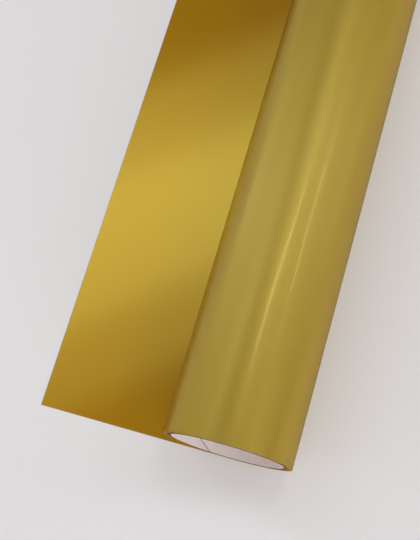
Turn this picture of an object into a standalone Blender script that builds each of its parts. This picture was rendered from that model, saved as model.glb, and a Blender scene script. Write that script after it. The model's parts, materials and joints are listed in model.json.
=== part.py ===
"""A small roll of gold sign vinyl on a paper core, lying down, with its free end drawn out flat to the left.

The vinyl is a web of two layers: the film, with the adhesive coated on its back, and the clear release
liner that the adhesive sits on. It is wound with the film's gold face inwards, so the liner is the outside
of every turn, and the underside of the free end. The free end leaves the roll at the bottom, where the roll
touches the table, and lies along -X.

Frame: +Z is up, +Y runs along the roll's axis, and the origin is the bottom centre of the whole object.
Round pieces are prisms with SIDES flat faces. One face is centred at the bottom, and every radius below is
measured to the middle of a face, so the bottom face lies flat on the table.

What moves: the roll turns inside its outer turn and pays out web, the free web slides away from the roll,
its end lifts off the table, and the film's end peels back from the liner.
"""

import math

import bmesh
import bpy
from mathutils import Vector

MM = 0.001

# The web.
WEB_WIDTH = 610.0 * MM              # sold as 24 inch
FILM_THICKNESS = 0.10 * MM          # face film with its adhesive coating
LINER_THICKNESS = 0.11 * MM         # clear polyester release liner
LAYER_GAP = 0.02 * MM               # between layers that lie on each other

# The core: spirally wound paper.
CORE_BORE = 76.2 * MM               # 3 inch
THIN_PLY = 0.40 * MM                # the white ply that lines the bore, and the outermost ply
BODY_PLY = 0.68 * MM                # the kraft plies between them
BODY_PLIES = 3
PLY_GAP = 0.03 * MM
PLY_LEAD = 160.0 * MM               # along the axis, for one turn of a ply
SEAM_GAP = 0.4 * MM                 # between the edges of one ply's strip, along the axis
SEAM_ANGLE = math.radians(203.0)    # where the innermost seam meets the near end
SEAM_STAGGER = math.radians(144.0)  # from each ply's seam to the next ply's

# The tape that starts the web on the core.
TAPE_THICKNESS = 0.10 * MM
TAPE_FACES = 3
TAPE_MARGIN = 12.0 * MM             # from each end of the tape to the end of the core

# The winding.
SIDES = 36
WOUND_TURNS = 11                    # whole turns that go round with the core
RUNNING_CLEARANCE = 0.15 * MM       # between those turns and the outer turn

# The free end, along -X from the line where it leaves the roll.
FREE_LENGTH = 145.8 * MM
LIFT_LENGTH = 66.0 * MM             # the last stretch of it, which lifts off the table
PEEL_LENGTH = 35.0 * MM             # the last stretch of its film, which peels back
HINGE_GAP = 0.3 * MM                # between two stretches, so that they can move

# Worked out from the sizes above.
HALF_FACE = math.pi / SIDES
FACE_ANGLE = 2.0 * HALF_FACE
WEB_THICKNESS = LINER_THICKNESS + LAYER_GAP + FILM_THICKNESS
WEB_PITCH = WEB_THICKNESS + LAYER_GAP
FILM_OFFSET = LINER_THICKNESS + LAYER_GAP
NEAR_END = -WEB_WIDTH / 2.0
FAR_END = WEB_WIDTH / 2.0
PLIES = [THIN_PLY] + [BODY_PLY] * BODY_PLIES + [THIN_PLY]
CORE_RADIUS = CORE_BORE / 2.0 + sum(PLIES) + PLY_GAP * (len(PLIES) - 1)
TAPE_RADIUS = CORE_RADIUS + PLY_GAP + TAPE_THICKNESS
WOUND_RADIUS = TAPE_RADIUS + PLY_GAP + WEB_THICKNESS + WEB_PITCH * WOUND_TURNS
ROLL_RADIUS = WOUND_RADIUS / math.cos(HALF_FACE) + RUNNING_CLEARANCE + WEB_PITCH + WEB_THICKNESS
AXIS_X = (FREE_LENGTH - ROLL_RADIUS) / 2.0

# Finishes: colour, roughness, metallic.
GOLD_FACE = ("#C9A23C", 0.30, 0.85)
LINER_OVER_GOLD = ("#A98D42", 0.18, 0.25)
WHITE_PAPER = ("#DCD6DC", 0.85, 0.0)
KRAFT_PAPER = ("#9C7B4E", 0.90, 0.0)
TAPE = ("#D8CFB4", 0.45, 0.0)


def clear_scene():
    """Start from nothing, whatever file is open."""
    for item in list(bpy.data.objects):
        bpy.data.objects.remove(item, do_unlink=True)


def linear(channel):
    """One sRGB channel, 0 to 1, as a linear value."""
    if channel <= 0.04045:
        return channel / 12.92
    return ((channel + 0.055) / 1.055) ** 2.4


def make_material(name, finish):
    """A Principled BSDF with the piece's colour, roughness and metallic value."""
    colour, roughness, metallic = finish
    channels = [int(colour[start:start + 2], 16) / 255.0 for start in (1, 3, 5)]
    material = bpy.data.materials.new(name)
    material.use_nodes = True
    shader = material.node_tree.nodes["Principled BSDF"]
    shader.inputs["Base Color"].default_value = [linear(channel) for channel in channels] + [1.0]
    shader.inputs["Roughness"].default_value = roughness
    shader.inputs["Metallic"].default_value = metallic
    return material


def add_joint(name, location, parent=None):
    """An empty on a joint's axis, at a place given from the world's origin."""
    joint = bpy.data.objects.new(name, None)
    joint.empty_display_size = 0.02
    collection.objects.link(joint)
    joint.location = Vector(location)
    if parent is not None:
        joint.parent = parent
        joint.location -= world_place(parent)
    return joint


def world_place(item):
    """Where an empty stands in the world; none of them is turned or scaled."""
    place = item.location.copy()
    if item.parent is not None:
        place += world_place(item.parent)
    return place


def add_sheet(name, bm, thickness, finish, joint):
    """An open surface that faces outwards, given its thickness on the inner side, on a joint's empty."""
    mesh = bpy.data.meshes.new(name)
    bm.to_mesh(mesh)
    bm.free()
    mesh.shade_smooth()
    mesh.set_sharp_from_angle(angle=math.radians(40.0))
    mesh.materials.append(make_material(name, finish))
    piece = bpy.data.objects.new(name, mesh)
    collection.objects.link(piece)
    piece.parent = joint
    wall = piece.modifiers.new("wall", "SOLIDIFY")
    wall.thickness = thickness
    wall.offset = -1.0
    wall.use_even_offset = True
    return piece


def corner(number, radius):
    """Corner of the prism, in X and Z from its axis. Corners 0 and 1 end the bottom face, and 1 is at +X."""
    angle = math.pi - (number - 0.5) * FACE_ANGLE
    reach = radius / math.cos(HALF_FACE)
    return (reach * math.sin(angle), reach * math.cos(angle))


def winding(first, last, radius):
    """Corners of a spiral that starts at the given radius and comes in by one pitch a turn."""
    return [corner(i, radius - WEB_PITCH * (i - first) / SIDES) for i in range(first, last + 1)]


def swept(path, near=NEAR_END, far=FAR_END):
    """The surface that a path in X and Z sweeps along Y. It faces right of the way that the path runs."""
    bm = bmesh.new()
    corners = [bm.verts.new((x, near, z)) for x, z in path]
    edges = [bm.edges.new(pair) for pair in zip(corners, corners[1:])]
    sweep = bmesh.ops.extrude_edge_only(bm, edges=edges)
    moved = [item for item in sweep["geom"] if isinstance(item, bmesh.types.BMVert)]
    bmesh.ops.translate(bm, vec=(0.0, far - near, 0.0), verts=moved)
    return bm


def helical_strip(radius, seam_angle):
    """A strip wound once over the whole core with its edges a seam gap apart, trimmed at both ends."""
    steps = math.ceil((WEB_WIDTH / PLY_LEAD + 2.0) * SIDES)
    first = math.ceil(seam_angle / FACE_ANGLE) - SIDES
    start_angle = math.pi + (first + 0.5) * FACE_ANGLE
    start = NEAR_END + PLY_LEAD * ((start_angle - seam_angle) / (2.0 * math.pi) - 1.0)
    reach = radius / math.cos(HALF_FACE)
    bm = bmesh.new()
    ends = [
        bm.verts.new((reach * math.sin(start_angle), y, reach * math.cos(start_angle)))
        for y in (start, start + PLY_LEAD - SEAM_GAP)
    ]
    edge = bm.edges.new(ends)
    bmesh.ops.spin(
        bm, geom=ends + [edge], axis=(0.0, 1.0, 0.0), cent=(0.0, 0.0, 0.0),
        dvec=(0.0, PLY_LEAD / SIDES, 0.0), angle=steps * FACE_ANGLE, steps=steps,
    )
    for y, outwards in ((NEAR_END, -1.0), (FAR_END, 1.0)):
        bmesh.ops.bisect_plane(
            bm, geom=bm.verts[:] + bm.edges[:] + bm.faces[:],
            plane_co=(0.0, y, 0.0), plane_no=(0.0, outwards, 0.0), clear_outer=True,
        )
    bmesh.ops.reverse_faces(bm, faces=bm.faces[:])
    return bm


def make_core(joint):
    """The plies from the bore outwards, each a strip with its own seam, and the starting tape."""
    names = ["core_inner_ply"]
    names += [f"core_body_ply_{number + 1}" for number in range(BODY_PLIES)]
    names += ["core_outer_ply"]
    finishes = [WHITE_PAPER] + [KRAFT_PAPER] * (BODY_PLIES + 1)
    radius = CORE_BORE / 2.0
    for number, (name, thickness, finish) in enumerate(zip(names, PLIES, finishes)):
        radius += thickness
        strip = helical_strip(radius, SEAM_ANGLE + SEAM_STAGGER * number)
        add_sheet(name, strip, thickness, finish, joint)
        radius += PLY_GAP
    arc = [corner(i, TAPE_RADIUS) for i in range(-TAPE_FACES, 1)]
    tape = swept(arc, NEAR_END + TAPE_MARGIN, FAR_END - TAPE_MARGIN)
    add_sheet("start_tape", tape, TAPE_THICKNESS, TAPE, joint)


def make_wound_web(joint):
    """The turns that go round with the core: one spiral of liner, and one of film inside it."""
    last = SIDES * WOUND_TURNS
    add_sheet("wound_liner", swept(winding(0, last, WOUND_RADIUS)), LINER_THICKNESS, LINER_OVER_GOLD, joint)
    film = swept(winding(0, last, WOUND_RADIUS - FILM_OFFSET))
    add_sheet("wound_film", film, FILM_THICKNESS, GOLD_FACE, joint)


def make_outer_turn(joint):
    """The outer turn, from the line where the free web leaves to one face short of the bottom again."""
    for name, offset, thickness, finish in (
        ("outer_turn_liner", 0.0, LINER_THICKNESS, LINER_OVER_GOLD),
        ("outer_turn_film", FILM_OFFSET, FILM_THICKNESS, GOLD_FACE),
    ):
        radius = ROLL_RADIUS - offset
        path = [(0.0, -radius)] + winding(1, SIDES - 1, radius)
        add_sheet(name, swept(path), thickness, finish, joint)


def add_flat_stretch(name, left, right, is_film, joint):
    """A flat stretch of liner or film, between two places along X from the joint that it hangs on."""
    height = (FILM_OFFSET if is_film else 0.0) - world_place(joint).z
    thickness = FILM_THICKNESS if is_film else LINER_THICKNESS
    finish = GOLD_FACE if is_film else LINER_OVER_GOLD
    add_sheet(name, swept([(left, height), (right, height)]), thickness, finish, joint)


def make_free_web(pull, lift, peel):
    """The flat stretches: the first slides, the second also lifts, and the last of the film also peels."""
    still_length = FREE_LENGTH - LIFT_LENGTH
    for name, is_film in (("free_liner", False), ("free_film", True)):
        add_flat_stretch(name, -still_length, -HINGE_GAP, is_film, pull)
    add_flat_stretch("lift_liner", -LIFT_LENGTH, -HINGE_GAP, False, lift)
    add_flat_stretch("lift_film", PEEL_LENGTH - LIFT_LENGTH, -HINGE_GAP, True, lift)
    add_flat_stretch("peel_film", -PEEL_LENGTH, -HINGE_GAP, True, peel)


def main():
    """Place the joints' empties and hang every piece on its own."""
    roll_axis = (AXIS_X, 0.0, ROLL_RADIUS)
    outer_turn = add_joint("outer_turn_centre", roll_axis)
    roll_turn = add_joint("roll_turn_axis", roll_axis, outer_turn)
    web_pull = add_joint("web_pull_axis", (AXIS_X, 0.0, 0.0), outer_turn)
    lift_x = AXIS_X - FREE_LENGTH + LIFT_LENGTH
    web_lift = add_joint("web_lift_axis", (lift_x, 0.0, WEB_THICKNESS), web_pull)
    peel_x = AXIS_X - FREE_LENGTH + PEEL_LENGTH
    film_peel = add_joint("film_peel_axis", (peel_x, 0.0, WEB_THICKNESS), web_lift)
    make_outer_turn(outer_turn)
    make_core(roll_turn)
    make_wound_web(roll_turn)
    make_free_web(web_pull, web_lift, film_peel)


clear_scene()
collection = bpy.data.collections.new("sign_vinyl_roll")
bpy.context.scene.collection.children.link(collection)
main()
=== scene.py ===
"""The looks of a small roll of gold sign vinyl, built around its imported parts.

The web is two layers, metallised film and clear liner. Each visible sheet of it is a flat grid that is laid
along the web's path: flat along the table, then round the roll in a spiral that comes in by one pitch a turn.
"""

import json
import math

import bpy
import numpy as np
from mathutils import Matrix, Quaternion, Vector


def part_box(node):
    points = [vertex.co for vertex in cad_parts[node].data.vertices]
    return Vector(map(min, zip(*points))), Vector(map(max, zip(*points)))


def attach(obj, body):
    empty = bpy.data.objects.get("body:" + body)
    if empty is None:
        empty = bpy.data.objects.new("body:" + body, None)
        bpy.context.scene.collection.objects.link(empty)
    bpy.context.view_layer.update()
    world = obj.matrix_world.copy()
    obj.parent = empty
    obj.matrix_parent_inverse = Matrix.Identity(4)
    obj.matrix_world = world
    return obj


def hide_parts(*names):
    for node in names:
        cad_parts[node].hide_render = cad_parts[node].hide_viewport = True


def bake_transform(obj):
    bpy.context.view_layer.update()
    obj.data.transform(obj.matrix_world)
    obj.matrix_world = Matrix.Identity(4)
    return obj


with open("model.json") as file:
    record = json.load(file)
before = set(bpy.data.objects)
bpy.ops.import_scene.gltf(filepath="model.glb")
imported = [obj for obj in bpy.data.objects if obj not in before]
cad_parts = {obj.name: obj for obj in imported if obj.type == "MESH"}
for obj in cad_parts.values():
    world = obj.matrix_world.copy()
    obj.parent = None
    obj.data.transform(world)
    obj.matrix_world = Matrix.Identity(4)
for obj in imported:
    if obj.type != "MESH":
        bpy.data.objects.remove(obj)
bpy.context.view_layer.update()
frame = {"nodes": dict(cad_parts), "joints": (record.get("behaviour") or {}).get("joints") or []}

bl_info = {
    "name": "Sign Vinyl Roll",
    "version": (1, 0, 0),
    "blender": (4, 5, 0),
    "location": "3D View > Sidebar > Vinyl Roll",
    "description": "Models a roll of gold sign vinyl on a paper core, and a stage to show it on",
    "category": "Object",
}

MM = 0.001
JOINTS = {joint["name"]: joint for joint in frame["joints"]}
AXIS = Vector(JOINTS["roll_turn"]["pos_m"])
LIFT_X = JOINTS["web_lift"]["pos_m"][0]
PEEL_X = JOINTS["film_peel"]["pos_m"][0]
NEAR_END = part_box("free_liner")[0].y
FAR_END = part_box("free_liner")[1].y
FREE_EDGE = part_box("lift_liner")[0].x
CORE_RADIUS = AXIS.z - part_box("core_outer_ply")[0].z
CAD_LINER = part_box("free_liner")[1].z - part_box("free_liner")[0].z
CAD_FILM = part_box("free_film")[1].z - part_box("free_film")[0].z
CAD_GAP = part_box("free_film")[0].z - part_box("free_liner")[1].z
# The turns that go round with the core start this many turns in, so that they clear the outer turn.
FIRST_WOUND_TURN = 2
CORE_CLEARANCE = 0.2 * MM
OUTER_FACES = (240, 90)
FREE_FACE = 1.5 * MM
FREE_ROWS = 60
# How far the film that peels reaches into the film beside it, so that the joint doesn't open.
PEEL_OVERLAP = 4.0 * MM
PLY_NODES = ("core_inner_ply", "core_body_ply_1", "core_body_ply_2", "core_body_ply_3", "core_outer_ply")


def length(name, description, default):
    """A length property in metres."""
    return bpy.props.FloatProperty(
        name=name, description=description, default=default, min=0.0, precision=5, unit="LENGTH"
    )


def colour(name, description, default):
    """A colour property, given as an sRGB hex value and held as linear light."""
    return bpy.props.FloatVectorProperty(
        name=name, description=description, default=linear(default), size=3, min=0.0, max=1.0, subtype="COLOR"
    )


def linear(hex_value):
    """An sRGB hex value such as #C9A23C as linear red, green and blue."""
    channels = [int(hex_value[start:start + 2], 16) / 255.0 for start in (1, 3, 5)]
    return [c / 12.92 if c <= 0.04045 else ((c + 0.055) / 1.055) ** 2.4 for c in channels]


class WebSizes(bpy.types.PropertyGroup):
    """Sizes of the vinyl web."""

    film: length("Film", "Thickness of the film with its adhesive", CAD_FILM)
    liner: length("Liner", "Thickness of the clear release liner", CAD_LINER)
    gap: length("Gap", "Between layers that lie on each other", CAD_GAP)
    wander: length("Wander", "How far the wound turns drift sideways from each other", 0.25 * MM)
    soft_bend: length("Soft bend", "How much of the web a bend takes up at a hinge", 24.0 * MM)
    steps_per_turn: bpy.props.IntProperty(
        name="Steps a turn", description="How many faces go round the wound turns", default=120, min=24
    )


class CoreSizes(bpy.types.PropertyGroup):
    """Sizes of the spirally wound paper core."""

    lead: length("Lead", "Along the axis, for one turn of a ply", 160.0 * MM)
    inner_ply: length("Inner ply", "Thickness of the ply that lines the core", 0.4 * MM)
    ply_gap: length("Ply gap", "Between one ply and the next", 0.03 * MM)
    seam_gap: length("Seam gap", "Between the edges of one ply's strip", 0.6 * MM)
    seam_angle: bpy.props.FloatProperty(
        name="Seam angle", description="Where the innermost seam meets the near end, from the top",
        default=math.radians(203.0), subtype="ANGLE",
    )
    seam_stagger: bpy.props.FloatProperty(
        name="Seam stagger", description="From each ply's seam to the next ply's",
        default=math.radians(144.0), subtype="ANGLE",
    )
    steps_per_turn: bpy.props.IntProperty(
        name="Steps a turn", description="How many faces go round a ply", default=96, min=24
    )


class Colours(bpy.types.PropertyGroup):
    """Colours that the finishes start from."""

    face_mirrored: colour("Face, mirrored", "Film face: colour of the light that it mirrors", "#D4C558")
    face_scattered: colour("Face, scattered", "Film face: colour of the light that it scatters", "#D19000")
    back_mirrored: colour("Back, mirrored", "Film back: colour of the light that it mirrors", "#C6BA5C")
    back_scattered: colour("Back, scattered", "Film back: colour of the light that it scatters", "#C2881A")
    white_paper: colour("White paper", "The ply that lines the core", "#EADCD8")
    kraft_paper: colour("Kraft paper", "The core's other plies", "#66501C")
    masking_tape: colour("Tape", "The tape that starts the web on the core", "#D9C79B")
    table: colour("Table", "The table top", "#F0EDEE")


class StageSettings(bpy.types.PropertyGroup):
    """Camera."""

    azimuth: bpy.props.FloatProperty(
        name="Azimuth", description="Camera's direction round the roll, from the near end",
        default=math.radians(34.078), subtype="ANGLE",
    )
    elevation: bpy.props.FloatProperty(
        name="Elevation", description="Camera's height as an angle above the table",
        default=math.radians(72.162), subtype="ANGLE",
    )
    tilt: bpy.props.FloatProperty(
        name="Tilt", description="Camera's turn about its own line of sight",
        default=math.radians(-18.613), subtype="ANGLE",
    )
    aim_left: length("Aim left", "How far left of the roll's axis the camera looks", 54.5 * MM)
    aim_in: length("Aim in", "How far from the near end the camera looks", 130.3 * MM)
    distance: length("Distance", "From the camera to the point it looks at", 0.7565)
    focal_length: bpy.props.FloatProperty(
        name="Focal length", description="In millimetres, on a 36 mm sensor", default=67.29
    )


# Making meshes.


def deselect():
    """Leave nothing selected, so that the next operator acts on its own piece only."""
    bpy.ops.object.select_all(action="DESELECT")


def new_grid(name, around, along):
    """A flat grid, one face unit across, with the given number of faces each way."""
    deselect()
    bpy.ops.mesh.primitive_grid_add(x_subdivisions=around, y_subdivisions=along, size=2.0)
    piece = bpy.context.active_object
    piece.name = name
    piece.data.name = name
    return piece


def lay(piece, place):
    """Put every point of a grid where place says, from its shares of the way along and across the grid."""
    points = np.zeros(len(piece.data.vertices) * 3)
    piece.data.vertices.foreach_get("co", points)
    points = points.reshape(-1, 3)
    placed = place((points[:, 0] + 1.0) / 2.0, (points[:, 1] + 1.0) / 2.0)
    piece.data.vertices.foreach_set("co", np.stack(placed, axis=1).ravel())
    piece.data.update()


def thicken(piece, thickness):
    """Give a sheet its thickness on the side that its faces look to."""
    wall = piece.modifiers.new("wall", "SOLIDIFY")
    wall.thickness = thickness
    wall.offset = 1.0
    wall.use_even_offset = True
    wall.material_offset = 1
    wall.material_offset_rim = 1
    bpy.ops.object.modifier_apply(modifier=wall.name)
    bpy.ops.object.shade_smooth_by_angle(angle=math.radians(40.0))


def trim_ends(piece):
    """Cut a piece off at the near and far ends of the web's width."""
    bpy.ops.object.mode_set(mode="EDIT")
    for end, outwards in ((NEAR_END, -1.0), (FAR_END, 1.0)):
        bpy.ops.mesh.select_all(action="SELECT")
        bpy.ops.mesh.bisect(plane_co=(0.0, end, 0.0), plane_no=(0.0, outwards, 0.0), clear_outer=True)
    bpy.ops.object.mode_set(mode="OBJECT")


def dress(piece, slot_name, *materials):
    """Give a piece its materials. The slot name is not used."""
    piece.data.materials.clear()
    for material in materials:
        piece.data.materials.append(material)


# The web's path.


def pitch():
    """How much one turn adds to the winding's radius."""
    web = bpy.context.scene.vinyl_web
    return web.film + web.liner + 2.0 * web.gap


def film_height():
    """From the web's outer face to the film's outer face."""
    web = bpy.context.scene.vinyl_web
    return web.liner + web.gap


def flat_place(left, right, height):
    """Lays a grid on the table from left to right, with its underside at the given height."""
    def place(along, across):
        x = left + (right - left) * along
        y = NEAR_END + (FAR_END - NEAR_END) * across
        return x, y, np.full_like(x, height)
    return place


def wound_place(first, last, height, ripple=None):
    """Lays a grid round the roll, between two angles counted from the bottom by way of +X."""
    wander = bpy.context.scene.vinyl_web.wander

    def place(along, across):
        angle = first + (last - first) * along
        y = NEAR_END + (FAR_END - NEAR_END) * across
        if ripple is None:
            y = y + wander * (0.5 + 0.3 * np.sin(angle * 0.31) + 0.2 * np.sin(angle * 0.83 + 1.0))
        radius = AXIS.z - height - pitch() * angle / (2.0 * math.pi)
        if ripple is not None:
            radius = radius + ripple(angle, y - NEAR_END)
        return AXIS.x + radius * np.sin(angle), y, AXIS.z - radius * np.cos(angle)
    return place


# Long shallow buckles in the outer turn, where it isn't drawn quite tight: how far round the middle is from
# the top towards +X in degrees, then in millimetres how far it is from the near end, the length, the width
# and the height, and how many degrees round it drifts along half its length.
RIPPLES = (
    (2.0, 120.0, 170.0, 5.0, 0.16, -3.0),
    (9.0, 165.0, 150.0, 4.0, 0.12, -3.0),
    (16.0, 200.0, 150.0, 4.0, 0.14, -4.0),
    (23.0, 215.0, 140.0, 4.0, 0.12, -4.0),
    (-6.0, 85.0, 120.0, 5.0, 0.12, -3.0),
    (6.0, 18.0, 30.0, 3.0, 0.08, -1.0),
    (-40.0, 330.0, 260.0, 9.0, 0.15, 6.0),
    (60.0, 380.0, 240.0, 8.0, 0.15, -6.0),
    (-15.0, 470.0, 200.0, 6.0, 0.14, 5.0),
)


def outer_ripple(angle, depth):
    """How far the outer turn stands out at an angle from the bottom and a depth from the near end."""
    lift = np.zeros_like(angle)
    for middle, middle_depth, reach, width, height, drift in RIPPLES:
        along = (depth / MM - middle_depth) / (reach / 2.0)
        centre = math.pi - math.radians(middle) - math.radians(drift) * along
        across = (angle - centre) * AXIS.z / (width * MM)
        lift += height * MM * np.exp(-(along ** 2) * 1.5) * np.exp(-(across ** 2))
    return lift


# Finishes.


def add_node(tree, kind, inputs=None, **settings):
    """Add a node with its settings, and set or link its inputs."""
    node = tree.nodes.new(kind)
    for name, value in settings.items():
        setattr(node, name, value)
    for socket, value in (inputs or {}).items():
        if isinstance(value, bpy.types.NodeSocket):
            tree.links.new(value, node.inputs[socket])
        else:
            node.inputs[socket].default_value = value
    return node


def new_material(name):
    """A node material with no nodes in it yet, and its node tree."""
    material = bpy.data.materials.new(name)
    material.use_nodes = True
    material.node_tree.nodes.clear()
    return material, material.node_tree


def rgba(value):
    """A colour property with full alpha."""
    return (*value, 1.0)


def metallised_film(name, mirrored, scattered, share, roughness):
    """Metallised polyester film under a yellow lacquer.

    Most of the light is mirrored a little blurred, and a share of it is scattered by the lacquer in a deeper
    colour. The surface has a faint orange peel.
    """
    material, tree = new_material(name)
    place = add_node(tree, "ShaderNodeTexCoord").outputs["Object"]
    peel = add_node(tree, "ShaderNodeTexNoise", {"Vector": place, "Scale": 1.0 / (3.33 * MM), "Detail": 1.0})
    bump = add_node(
        tree, "ShaderNodeBump", {"Height": peel.outputs["Fac"], "Strength": 0.02, "Distance": 0.05 * MM}
    )
    cloud = add_node(
        tree, "ShaderNodeTexNoise", {"Vector": place, "Scale": 1.0 / (111.0 * MM), "Detail": 2.0}
    )
    rough = add_node(
        tree, "ShaderNodeMapRange",
        {"Value": cloud.outputs["Fac"], "To Min": roughness - 0.02, "To Max": roughness + 0.02},
    )
    metal = add_node(
        tree, "ShaderNodeBsdfPrincipled",
        {"Base Color": rgba(mirrored), "Metallic": 1.0, "Roughness": rough.outputs["Result"],
         "Normal": bump.outputs["Normal"]},
    )
    lacquer = add_node(
        tree, "ShaderNodeBsdfPrincipled",
        {"Base Color": rgba(scattered), "Roughness": 0.8, "Specular IOR Level": 0.0,
         "Normal": bump.outputs["Normal"]},
    )
    mix = add_node(
        tree, "ShaderNodeMixShader", {0: share, 1: metal.outputs["BSDF"], 2: lacquer.outputs["BSDF"]}
    )
    add_node(tree, "ShaderNodeOutputMaterial", {"Surface": mix.outputs["Shader"]})
    return material


def clear_liner():
    """Clear polyester release liner: only its gloss shows, over whatever is behind it.

    It was drawn lengthways as it was made, which leaves long faint waves that break up the gloss.
    """
    material, tree = new_material("clear_polyester_liner")
    place = add_node(tree, "ShaderNodeTexCoord").outputs["Object"]
    wide, long = 1.0 / (16.7 * MM), 1.0 / (167.0 * MM)
    drawn = add_node(tree, "ShaderNodeMapping", {"Vector": place, "Scale": (wide, long, wide)})
    wave = add_node(
        tree, "ShaderNodeTexNoise", {"Vector": drawn.outputs["Vector"], "Scale": 1.0, "Detail": 2.0}
    )
    bump = add_node(
        tree, "ShaderNodeBump", {"Height": wave.outputs["Fac"], "Strength": 0.25, "Distance": 0.2 * MM}
    )
    mirrored = add_node(tree, "ShaderNodeFresnel", {"IOR": 1.5, "Normal": bump.outputs["Normal"]})
    behind = add_node(tree, "ShaderNodeNewGeometry").outputs["Backfacing"]
    outside = add_node(
        tree, "ShaderNodeMath", {0: mirrored.outputs["Fac"], 1: behind}, operation="SUBTRACT", use_clamp=True
    )
    open_part = add_node(tree, "ShaderNodeBsdfTransparent", {"Color": (0.97, 0.97, 0.96, 1.0)})
    gloss = add_node(
        tree, "ShaderNodeBsdfAnisotropic",
        {"Color": (0.32, 0.27, 0.15, 1.0), "Roughness": 0.11, "Normal": bump.outputs["Normal"]},
    )
    mix = add_node(
        tree, "ShaderNodeMixShader",
        {0: outside.outputs["Value"], 1: open_part.outputs["BSDF"], 2: gloss.outputs["BSDF"]},
    )
    add_node(tree, "ShaderNodeOutputMaterial", {"Surface": mix.outputs["Shader"]})
    return material


def paper(name, base, speck, fibre_mm, roughness):
    """Machine-made paper: matte, with fibres a few millimetres long that show as faint streaks."""
    material, tree = new_material(name)
    place = add_node(tree, "ShaderNodeTexCoord").outputs["Object"]
    scale = 1.0 / (fibre_mm * MM)
    drawn = add_node(tree, "ShaderNodeMapping", {"Vector": place, "Scale": (scale * 4.0, scale, scale * 4.0)})
    fibre = add_node(
        tree, "ShaderNodeTexNoise", {"Vector": drawn.outputs["Vector"], "Scale": 1.0, "Detail": 5.0}
    )
    mottle = add_node(
        tree, "ShaderNodeTexNoise", {"Vector": place, "Scale": 1.0 / (28.6 * MM), "Detail": 3.0}
    )
    fine = add_node(
        tree, "ShaderNodeMapRange",
        {"Value": fibre.outputs["Fac"], "From Min": 0.35, "From Max": 0.65,
         "To Min": 1.0 - speck, "To Max": 1.0},
    )
    coarse = add_node(
        tree, "ShaderNodeMapRange",
        {"Value": mottle.outputs["Fac"], "From Min": 0.3, "From Max": 0.7,
         "To Min": 1.0 - speck / 2.0, "To Max": 1.0},
    )
    both = add_node(
        tree, "ShaderNodeMath", {0: fine.outputs["Result"], 1: coarse.outputs["Result"]}, operation="MULTIPLY"
    )
    tint = add_node(tree, "ShaderNodeHueSaturation", {"Color": rgba(base), "Value": both.outputs["Value"]})
    bump = add_node(
        tree, "ShaderNodeBump", {"Height": fibre.outputs["Fac"], "Strength": 0.3, "Distance": 0.06 * MM}
    )
    shader = add_node(
        tree, "ShaderNodeBsdfPrincipled",
        {"Base Color": tint.outputs["Color"], "Roughness": roughness, "Normal": bump.outputs["Normal"]},
    )
    add_node(tree, "ShaderNodeOutputMaterial", {"Surface": shader.outputs["BSDF"]})
    return material


FINISHES = {}


def make_finishes():
    """Make each material once, for all the pieces that share it."""
    colours = bpy.context.scene.vinyl_colours
    FINISHES["face"] = metallised_film(
        "metallised_film_face", colours.face_mirrored, colours.face_scattered, 0.5, 0.13
    )
    FINISHES["back"] = metallised_film(
        "metallised_film_back", colours.back_mirrored, colours.back_scattered, 0.40, 0.40
    )
    FINISHES["liner"] = clear_liner()
    FINISHES["white"] = paper("white_core_paper", colours.white_paper, 0.10, 3.0, 0.85)
    FINISHES["kraft"] = paper("kraft_core_board", colours.kraft_paper, 0.35, 2.0, 0.9)
    FINISHES["tape"] = paper("crepe_masking_tape", colours.masking_tape, 0.15, 1.0, 0.7)


# Pieces.


class VINYL_OT_outer_turn(bpy.types.Operator):
    """Model the outer turn of film and liner, with its long shallow ripples"""

    bl_idname = "vinyl.outer_turn"
    bl_label = "Outer turn"

    def execute(self, context):
        web = context.scene.vinyl_web
        for name, node, height, thickness in (
            ("outer_liner", "outer_turn_liner", 0.0, web.liner),
            ("outer_film", "outer_turn_film", film_height(), web.film),
        ):
            piece = new_grid(name, *OUTER_FACES)
            lay(piece, wound_place(0.0, 2.0 * math.pi, height, outer_ripple))
            if node == "outer_turn_film":
                dress(piece, "gold_film", FINISHES["face"], FINISHES["back"])
            else:
                dress(piece, "release_liner", FINISHES["liner"], FINISHES["liner"])
            thicken(piece, thickness)
            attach(piece, "outer_turn")
            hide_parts(node)
        return {"FINISHED"}


class VINYL_OT_wound_web(bpy.types.Operator):
    """Model the turns that go round with the core, as one spiral of liner and one of film"""

    bl_idname = "vinyl.wound_web"
    bl_label = "Wound web"

    def execute(self, context):
        web = context.scene.vinyl_web
        first = 2.0 * math.pi * FIRST_WOUND_TURN
        inmost = CORE_RADIUS + CORE_CLEARANCE
        turns = (AXIS.z - inmost - web.film - film_height()) / pitch()
        last = 2.0 * math.pi * math.floor(turns)
        steps = round((last - first) / (2.0 * math.pi) * web.steps_per_turn)
        for name, node, height, thickness in (
            ("wound_liner_turns", "wound_liner", 0.0, web.liner),
            ("wound_film_turns", "wound_film", film_height(), web.film),
        ):
            piece = new_grid(name, steps, 1)
            lay(piece, wound_place(first, last, height))
            if node == "wound_film":
                dress(piece, "gold_film", FINISHES["face"], FINISHES["back"])
            else:
                dress(piece, "release_liner", FINISHES["liner"], FINISHES["liner"])
            thicken(piece, thickness)
            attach(piece, "roll")
            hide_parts(node)
        return {"FINISHED"}


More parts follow.
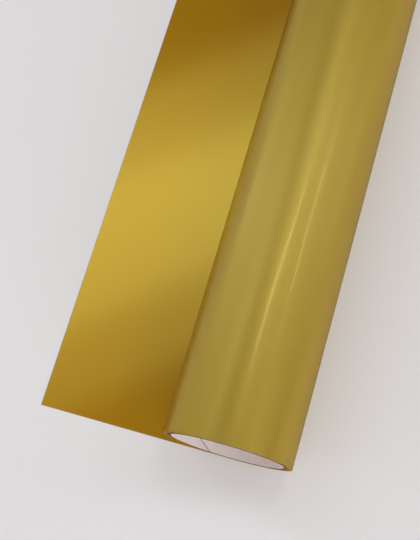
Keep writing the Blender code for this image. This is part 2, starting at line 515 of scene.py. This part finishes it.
class VINYL_OT_free_end(bpy.types.Operator):
    """Model the flat free end, in flat stretches of liner and film"""

    bl_idname = "vinyl.free_end"
    bl_label = "Free end"

    def execute(self, context):
        web = context.scene.vinyl_web
        slide_join = (AXIS.x + LIFT_X) / 2.0
        peel_join = PEEL_X + PEEL_OVERLAP
        lift_end = LIFT_X - web.soft_bend
        peel_end = PEEL_X - web.soft_bend
        film = film_height()
        stretches = (
            ("liner_paying_out", "free_liner", slide_join, AXIS.x, "outer_turn", "free_web",
             AXIS.x, slide_join),
            ("film_paying_out", "free_film", slide_join, AXIS.x, "outer_turn", "free_web",
             AXIS.x, slide_join),
            ("liner_end", "lift_liner", FREE_EDGE, slide_join, "free_web", "web_end", LIFT_X, lift_end),
            ("film_lifting", "lift_film", peel_join, slide_join, "free_web", "web_end", LIFT_X, lift_end),
            ("film_end", "peel_film", FREE_EDGE, peel_join, "web_end", "film_end", PEEL_X, peel_end),
        )
        for name, node, left, right, body, next_body, start, end in stretches:
            is_film = node.endswith("film")
            piece = new_grid(name, round((right - left) / FREE_FACE), FREE_ROWS)
            lay(piece, flat_place(left, right, film if is_film else 0.0))
            if is_film:
                dress(piece, "gold_film", FINISHES["face"], FINISHES["back"])
            else:
                dress(piece, "release_liner", FINISHES["liner"], FINISHES["liner"])
            thicken(piece, web.film if is_film else web.liner)
            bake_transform(piece)
            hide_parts(node)
        return {"FINISHED"}


class VINYL_OT_core(bpy.types.Operator):
    """Model the plies of the paper core, each a strip wound spirally with its own seam"""

    bl_idname = "vinyl.core"
    bl_label = "Paper core"

    def execute(self, context):
        core = context.scene.vinyl_core
        for number, node in enumerate(PLY_NODES):
            low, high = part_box(node)
            radius = (high.x - low.x) / 2.0
            thickness = self.thickness(number, radius)
            seam = core.seam_angle + core.seam_stagger * number
            self.make_ply(node, radius, thickness, seam)
        return {"FINISHED"}

    def thickness(self, number, radius):
        """From a ply's outer face to the outer face of the ply inside it, less the gap."""
        core = bpy.context.scene.vinyl_core
        if number == 0:
            return core.inner_ply
        low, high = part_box(PLY_NODES[number - 1])
        return radius - (high.x - low.x) / 2.0 - core.ply_gap

    def make_ply(self, node, radius, thickness, seam):
        """One strip of paper, laid round and along the core, and trimmed at the ends."""
        core = bpy.context.scene.vinyl_core
        turns = math.ceil((FAR_END - NEAR_END) / core.lead + 2.0)
        start = NEAR_END - core.lead * 1.5 - core.lead * (seam / (2.0 * math.pi) % 1.0)

        def place(along, across):
            angle = 2.0 * math.pi * turns * along
            y = start + core.lead * turns * along + (core.lead - core.seam_gap) * across
            return AXIS.x - radius * np.sin(angle), y, AXIS.z - radius * np.cos(angle)

        piece = new_grid(node.replace("core", "paper"), turns * core.steps_per_turn, 1)
        lay(piece, place)
        finish = FINISHES["white" if node == PLY_NODES[0] else "kraft"]
        dress(piece, "white_paper" if node == PLY_NODES[0] else "kraft_board", finish, finish)
        trim_ends(piece)
        thicken(piece, thickness)
        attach(piece, "roll")
        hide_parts(node)


class VINYL_OT_start_tape(bpy.types.Operator):
    """Give the starting tape its finish"""

    bl_idname = "vinyl.start_tape"
    bl_label = "Starting tape"

    def execute(self, context):
        tape = frame["nodes"]["start_tape"]
        tape.data.materials.clear()
        tape.data.materials.append(FINISHES["tape"])
        return {"FINISHED"}


# How bright the studio is in each direction, from near (-1) to far (1) along the roll. It is bright behind
# the camera, so that the core's bore is lit, and darker ahead, so that the film mirrors deep tones there.
STUDIO_GLOW = ((-1.0, 1.5), (-0.6, 0.75), (-0.25, 0.25), (0.1, 0.1), (0.33, 0.4), (0.45, 0.05), (1.0, 0.4))
# What soft arches over the roll add on the left and on the right, and a wall on the right.
LEFT_ARCH = ((0.1, 0.0), (0.25, 0.7), (0.34, 2.7), (0.4, 1.0), (0.5, 0.0))
RIGHT_WALL = ((-1.0, 2.6), (-0.6, 2.6), (-0.15, 0.0))
RIGHT_ARCH = ((0.2, 0.0), (0.26, 0.3), (0.35, 1.5), (0.4, 1.7), (0.5, 0.0))


def add_softbox(name, place, aim, sides, along, radiance):
    """A rectangular soft light that looks at a point, with its first side along a direction."""
    light = bpy.data.lights.new(name, "AREA")
    light.shape = "RECTANGLE"
    light.size, light.size_y = sides
    light.energy = radiance * math.pi * sides[0] * sides[1]
    lamp = bpy.data.objects.new(name, light)
    bpy.context.scene.collection.objects.link(lamp)
    away = (Vector(place) - Vector(aim)).normalized()
    across = away.cross(Vector(along)).normalized()
    turned = Matrix((across.cross(away), across, away)).transposed()
    lamp.matrix_world = Matrix.Translation(place) @ turned.to_4x4()


class VINYL_OT_stage(bpy.types.Operator):
    """Add the table top, the soft lights, the world and the camera"""

    bl_idname = "vinyl.stage"
    bl_label = "Stage"

    def execute(self, context):
        self.add_table(context)
        self.add_lights(context)
        self.add_camera(context)
        return {"FINISHED"}

    def add_table(self, context):
        """A plain pale top, painted and rubbed smooth, so that it shows soft shadows and no gloss."""
        deselect()
        bpy.ops.mesh.primitive_grid_add(x_subdivisions=8, y_subdivisions=8, size=6.0)
        table = context.active_object
        table.name = "table_top"
        material, tree = new_material("painted_table_top")
        place = add_node(tree, "ShaderNodeTexCoord").outputs["Object"]
        cloud = add_node(
            tree, "ShaderNodeTexNoise", {"Vector": place, "Scale": 1.0 / (333.0 * MM), "Detail": 2.0}
        )
        value = add_node(
            tree, "ShaderNodeMapRange", {"Value": cloud.outputs["Fac"], "To Min": 0.99, "To Max": 1.01}
        )
        tint = add_node(
            tree, "ShaderNodeHueSaturation",
            {"Color": rgba(context.scene.vinyl_colours.table), "Value": value.outputs["Result"]},
        )
        shader = add_node(
            tree, "ShaderNodeBsdfPrincipled", {"Base Color": tint.outputs["Color"], "Roughness": 0.75}
        )
        add_node(tree, "ShaderNodeOutputMaterial", {"Surface": shader.outputs["BSDF"]})
        table.data.materials.append(material)

    def add_lights(self, context):
        """Long softboxes overhead, a fill on each side, two narrow strips and a glow all round."""
        centre = Vector((AXIS.x - 0.05, NEAR_END + 0.18, 0.0))
        for name, place, width, radiance in (
            ("overhead_core", (-0.42, 0.42, 1.5), 0.12, 0.5),
            ("overhead_wide", (-0.42, 0.42, 1.5), 0.45, 0.4),
            ("overhead_near", (-0.44, 0.17, 1.5), 0.45, 0.3),
        ):
            add_softbox(name, place, centre, (1.8, width), (0.78, 0.63, 0.0), radiance)
        add_softbox("fill_right", (0.95, -0.65, 0.85), centre, (1.0, 0.8), (0.0, 1.0, 0.0), 0.6)
        add_softbox("fill_left", (-1.2, -0.8, 0.5), centre, (1.0, 0.6), (0.0, 1.0, 0.0), 1.4)
        add_softbox("strip_left", (0.28, 0.22, 1.5), centre, (0.42, 0.08), (0.35, 0.93, 0.0), 11.0)
        add_softbox("strip_right", (1.14, 0.46, 1.5), centre, (0.38, 0.08), (0.1, 1.0, 0.0), 9.0)
        self.add_world(context)

    def add_world(self, context):
        """The glow of the studio's walls and ceiling."""
        world = bpy.data.worlds.new("studio")
        context.scene.world = world
        world.use_nodes = True
        tree = world.node_tree
        tree.nodes.clear()
        direction = add_node(tree, "ShaderNodeTexCoord").outputs["Generated"]
        part = add_node(tree, "ShaderNodeSeparateXYZ", {"Vector": direction})
        total = None
        # Each glow, and between which directions across the roll it rises to its full strength.
        for stops, side in (
            (STUDIO_GLOW, None),
            (LEFT_ARCH, (-0.3, -0.5)),
            (RIGHT_ARCH, (-0.15, 0.05)),
            (RIGHT_WALL, (0.2, 0.75)),
        ):
            brightest = max(glow for _, glow in stops)
            share = add_node(
                tree, "ShaderNodeMapRange", {"Value": part.outputs["Y"], "From Min": -1.0, "From Max": 1.0}
            )
            ramp = add_node(tree, "ShaderNodeValToRGB", {"Fac": share.outputs["Result"]})
            for _ in stops[2:]:
                ramp.color_ramp.elements.new(0.5)
            for stop, (y, _) in zip(ramp.color_ramp.elements, stops):
                stop.position = (y + 1.0) / 2.0
            for stop, (_, glow) in zip(ramp.color_ramp.elements, stops):
                stop.color = rgba([glow / brightest] * 3)
            strength = brightest
            if side is not None:
                strength = add_node(
                    tree, "ShaderNodeMapRange",
                    {"Value": part.outputs["X"], "From Min": side[0], "From Max": side[1],
                     "To Min": 0.0, "To Max": brightest},
                    interpolation_type="SMOOTHSTEP",
                ).outputs["Result"]
            glow = add_node(
                tree, "ShaderNodeBackground", {"Color": ramp.outputs["Color"], "Strength": strength}
            ).outputs["Background"]
            if total is not None:
                glow = add_node(tree, "ShaderNodeAddShader", {0: total, 1: glow}).outputs["Shader"]
            total = glow
        add_node(tree, "ShaderNodeOutputWorld", {"Surface": total})

    def add_camera(self, context):
        """Looks down on the near end of the roll from the right."""
        stage = context.scene.vinyl_stage
        aim = Vector((AXIS.x - stage.aim_left, NEAR_END + stage.aim_in, 0.0))
        back = Vector((
            math.sin(stage.azimuth) * math.cos(stage.elevation),
            -math.cos(stage.azimuth) * math.cos(stage.elevation),
            math.sin(stage.elevation),
        ))
        data = bpy.data.cameras.new("camera")
        data.lens = stage.focal_length
        data.sensor_width = 36.0
        data.clip_start = 0.01
        camera = bpy.data.objects.new("camera", data)
        context.scene.collection.objects.link(camera)
        camera.rotation_mode = "QUATERNION"
        camera.location = aim + back * stage.distance
        level = (-back).to_track_quat("-Z", "Y")
        camera.rotation_quaternion = level @ Quaternion((0.0, 0.0, 1.0), stage.tilt)
        context.scene.camera = camera
        context.scene.view_settings.view_transform = "Standard"


class VINYL_PT_panel(bpy.types.Panel):
    """Lists the operators in the order that they are used"""

    bl_idname = "VINYL_PT_panel"
    bl_label = "Sign vinyl roll"
    bl_space_type = "VIEW_3D"
    bl_region_type = "UI"
    bl_category = "Vinyl Roll"

    def draw(self, context):
        for settings in ("vinyl_web", "vinyl_core", "vinyl_colours", "vinyl_stage"):
            group = getattr(context.scene, settings)
            box = self.layout.box()
            for name in group.bl_rna.properties.keys():
                if name not in ("rna_type", "name"):
                    box.prop(group, name)
        for operator in OPERATORS:
            self.layout.operator(operator.bl_idname)


OPERATORS = (
    VINYL_OT_outer_turn, VINYL_OT_wound_web, VINYL_OT_free_end, VINYL_OT_core, VINYL_OT_start_tape,
    VINYL_OT_stage,
)
GROUPS = {
    "vinyl_web": WebSizes, "vinyl_core": CoreSizes, "vinyl_colours": Colours, "vinyl_stage": StageSettings,
}


def register():
    """Make the sizes, the operators and the panel known to Blender."""
    for name, group in GROUPS.items():
        bpy.utils.register_class(group)
        setattr(bpy.types.Scene, name, bpy.props.PointerProperty(type=group))
    for item in OPERATORS + (VINYL_PT_panel,):
        bpy.utils.register_class(item)


def unregister():
    """Take them away again."""
    for item in reversed(OPERATORS + (VINYL_PT_panel,)):
        bpy.utils.unregister_class(item)
    for name, group in GROUPS.items():
        delattr(bpy.types.Scene, name)
        bpy.utils.unregister_class(group)


def main():
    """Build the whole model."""
    register()
    make_finishes()
    for operator in OPERATORS:
        group, name = operator.bl_idname.split(".")
        getattr(getattr(bpy.ops, group), name)()


if __name__ == "__main__":
    main()
